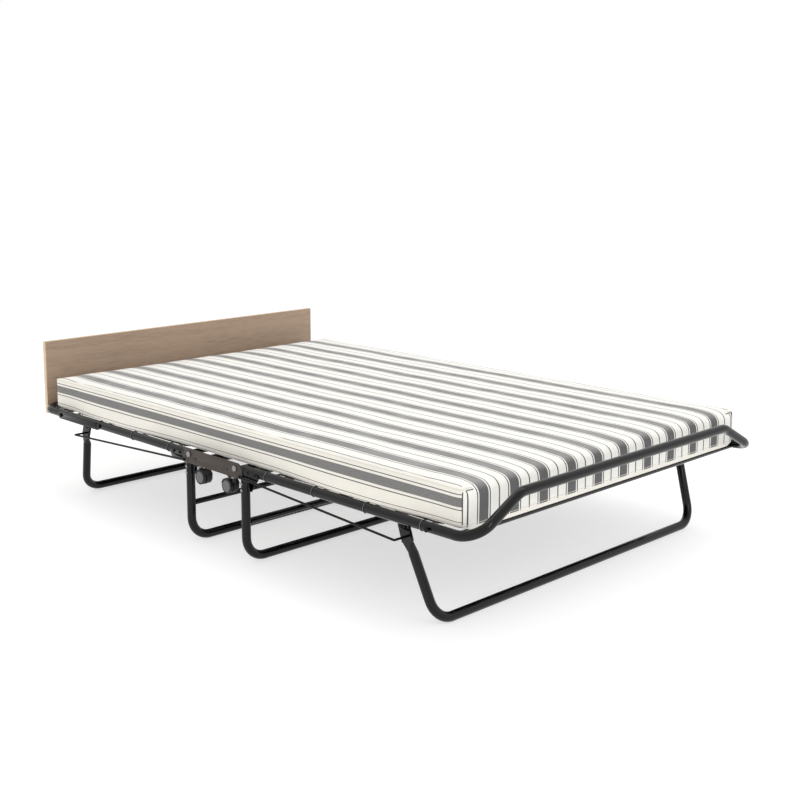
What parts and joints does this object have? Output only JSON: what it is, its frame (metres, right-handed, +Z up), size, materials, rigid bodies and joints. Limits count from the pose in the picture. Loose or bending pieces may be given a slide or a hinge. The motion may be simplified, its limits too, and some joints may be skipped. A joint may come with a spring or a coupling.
{
  "type": "rollaway bed",
  "caption": "Low folding guest bed on tubular legs with a hinged centre carriage on casters, a mesh deck, a plain headboard and a striped mattress.",
  "frame": {"origin": "centre of the bed's footprint, on the floor", "axes": "+X along the bed from head to foot, +Y across the bed to a sleeper's left, +Z up"},
  "size_m": [1.94, 1.242, 0.4752],
  "materials": {
    "black_enamel": "gloss black enamel",
    "rod_enamel": "satin black enamel on wire",
    "plate_enamel": "dark grey-brown enamel",
    "zinc_fasteners": "bright zinc plate",
    "spring_steel": "drawn wire",
    "deck_mesh": "open woven polyester mesh",
    "headboard_laminate": "wood-grain laminate, matt",
    "mattress_ticking": "striped cotton ticking",
    "caster_body": "moulded black nylon",
    "caster_wheel": "black tread with a grey hub"
  },
  "bodies": {
    "carriage": {"centre_plate_left": "plate_enamel", "centre_plate_right": "plate_enamel", "carriage_cross_tube_head": "black_enamel", "carriage_cross_tube_foot": "black_enamel", "carriage_leg_brackets": "black_enamel", "caster_sockets": "zinc_fasteners", "frame_pivot_bolts": "zinc_fasteners", "centre_leg_pivot_bolts": "zinc_fasteners", "mattress_middle": "mattress_ticking"},
    "head_frame": {"head_frame_tube": "black_enamel", "head_cross_tube": "black_enamel", "head_inner_tube": "black_enamel", "head_hinge_gussets": "black_enamel", "head_gusset_rivets": "rod_enamel", "head_leg_brackets": "black_enamel", "head_leg_pivot_bolts": "rod_enamel", "head_deck_wire": "rod_enamel", "head_deck_mesh": "deck_mesh", "head_deck_springs": "spring_steel", "mattress_head": "mattress_ticking", "headboard_panel": "headboard_laminate", "headboard_brackets": "black_enamel", "headboard_screws": "zinc_fasteners", "latch_pivot_rivets": "rod_enamel"},
    "head_leg": {"head_leg_tube": "black_enamel"},
    "head_centre_leg": {"head_centre_leg_tube": "black_enamel", "head_centre_leg_brace": "black_enamel", "head_centre_leg_plates": "black_enamel", "head_centre_leg_bolts": "zinc_fasteners"},
    "head_links": {"head_link_rods": "rod_enamel"},
    "foot_frame": {"foot_frame_tube": "black_enamel", "foot_cross_tube": "black_enamel", "foot_inner_tube": "black_enamel", "foot_hinge_gussets": "black_enamel", "foot_gusset_rivets": "rod_enamel", "foot_leg_brackets": "black_enamel", "foot_leg_pivot_bolts": "rod_enamel", "foot_deck_wire": "rod_enamel", "foot_deck_mesh": "deck_mesh", "foot_deck_springs": "spring_steel", "mattress_foot": "mattress_ticking", "latch_studs": "rod_enamel"},
    "foot_leg": {"foot_leg_tube": "black_enamel"},
    "foot_centre_leg": {"foot_centre_leg_tube": "black_enamel", "foot_centre_leg_brace": "black_enamel", "foot_centre_leg_plates": "black_enamel", "foot_centre_leg_bolts": "zinc_fasteners"},
    "foot_links": {"foot_link_rods": "rod_enamel"},
    "latch_left": {"latch_arm_left": "black_enamel"},
    "latch_right": {"latch_arm_right": "black_enamel"},
    "caster_head_left_swivel": {"caster_head_left_yoke": "caster_body"},
    "caster_head_left_roller": {"caster_head_left_wheels": "caster_wheel"},
    "caster_head_right_swivel": {"caster_head_right_yoke": "caster_body"},
    "caster_head_right_roller": {"caster_head_right_wheels": "caster_wheel"},
    "caster_foot_left_swivel": {"caster_foot_left_yoke": "caster_body"},
    "caster_foot_left_roller": {"caster_foot_left_wheels": "caster_wheel"},
    "caster_foot_right_swivel": {"caster_foot_right_yoke": "caster_body"},
    "caster_foot_right_roller": {"caster_foot_right_wheels": "caster_wheel"}
  },
  "joints": [
    {"name": "head_fold", "type": "hinge", "parent": "carriage", "child": "head_frame", "pos_m": [-0.0955, 0, 0.264], "axis": [0, 1, 0], "range_deg": [0, 90], "deforming": ["mattress_middle"]},
    {"name": "head_centre_leg_turn", "type": "hinge", "parent": "carriage", "child": "head_centre_leg", "pos_m": [-0.1295, 0, 0.23], "axis": [0, 1, 0], "range_deg": [0, 180]},
    {"name": "head_leg_turn", "type": "hinge", "parent": "head_frame", "child": "head_leg", "pos_m": [-0.6985, 0, 0.24], "axis": [0, -1, 0], "range_deg": [0, 100.96]},
    {"name": "head_link_turn", "type": "hinge", "parent": "carriage", "child": "head_links", "pos_m": [-0.1155, 0, 0.245], "axis": [0, 1, 0], "range_deg": [0, 92.41]},
    {"name": "foot_fold", "type": "hinge", "parent": "carriage", "child": "foot_frame", "pos_m": [0.1145, 0, 0.264], "axis": [0, -1, 0], "range_deg": [0, 90], "deforming": ["mattress_middle"]},
    {"name": "foot_centre_leg_turn", "type": "hinge", "parent": "carriage", "child": "foot_centre_leg", "pos_m": [0.1485, 0, 0.23], "axis": [0, -1, 0], "range_deg": [0, 180]},
    {"name": "foot_leg_turn", "type": "hinge", "parent": "foot_frame", "child": "foot_leg", "pos_m": [0.7175, 0, 0.24], "axis": [0, 1, 0], "range_deg": [0, 100.96]},
    {"name": "foot_link_turn", "type": "hinge", "parent": "carriage", "child": "foot_links", "pos_m": [0.1345, 0, 0.245], "axis": [0, -1, 0], "range_deg": [0, 92.41]},
    {"name": "latch_left_swing", "type": "hinge", "parent": "head_frame", "child": "latch_left", "pos_m": [-0.805, 0.6105, 0.26], "axis": [0, -1, 0], "range_deg": [0, 90]},
    {"name": "latch_right_swing", "type": "hinge", "parent": "head_frame", "child": "latch_right", "pos_m": [-0.805, -0.6105, 0.26], "axis": [0, -1, 0], "range_deg": [0, 90]},
    {"name": "caster_head_left_turn", "type": "hinge", "parent": "carriage", "child": "caster_head_left_swivel", "pos_m": [-0.0655, 0.596, 0.205], "axis": [0, 0, 1], "continuous": true},
    {"name": "caster_head_left_roll", "type": "hinge", "parent": "caster_head_left_swivel", "child": "caster_head_left_roller", "pos_m": [-0.0515, 0.596, 0.205], "axis": [0, 1, 0], "continuous": true},
    {"name": "caster_head_right_turn", "type": "hinge", "parent": "carriage", "child": "caster_head_right_swivel", "pos_m": [-0.0655, -0.596, 0.205], "axis": [0, 0, 1], "continuous": true},
    {"name": "caster_head_right_roll", "type": "hinge", "parent": "caster_head_right_swivel", "child": "caster_head_right_roller", "pos_m": [-0.0515, -0.596, 0.205], "axis": [0, 1, 0], "continuous": true},
    {"name": "caster_foot_left_turn", "type": "hinge", "parent": "carriage", "child": "caster_foot_left_swivel", "pos_m": [0.0845, 0.596, 0.205], "axis": [0, 0, 1], "continuous": true},
    {"name": "caster_foot_left_roll", "type": "hinge", "parent": "caster_foot_left_swivel", "child": "caster_foot_left_roller", "pos_m": [0.0705, 0.596, 0.205], "axis": [0, 1, 0], "continuous": true},
    {"name": "caster_foot_right_turn", "type": "hinge", "parent": "carriage", "child": "caster_foot_right_swivel", "pos_m": [0.0845, -0.596, 0.205], "axis": [0, 0, 1], "continuous": true},
    {"name": "caster_foot_right_roll", "type": "hinge", "parent": "caster_foot_right_swivel", "child": "caster_foot_right_roller", "pos_m": [0.0705, -0.596, 0.205], "axis": [0, 1, 0], "continuous": true}
  ],
  "couplings": [
    {"joint": "head_centre_leg_turn", "follows": "head_fold", "ratio": 2},
    {"joint": "head_leg_turn", "follows": "head_fold", "ratio": 1.1212},
    {"joint": "head_link_turn", "follows": "head_fold", "ratio": 1.0262},
    {"joint": "foot_centre_leg_turn", "follows": "foot_fold", "ratio": 2},
    {"joint": "foot_leg_turn", "follows": "foot_fold", "ratio": 1.1212},
    {"joint": "foot_link_turn", "follows": "foot_fold", "ratio": 1.0262}
  ]
}
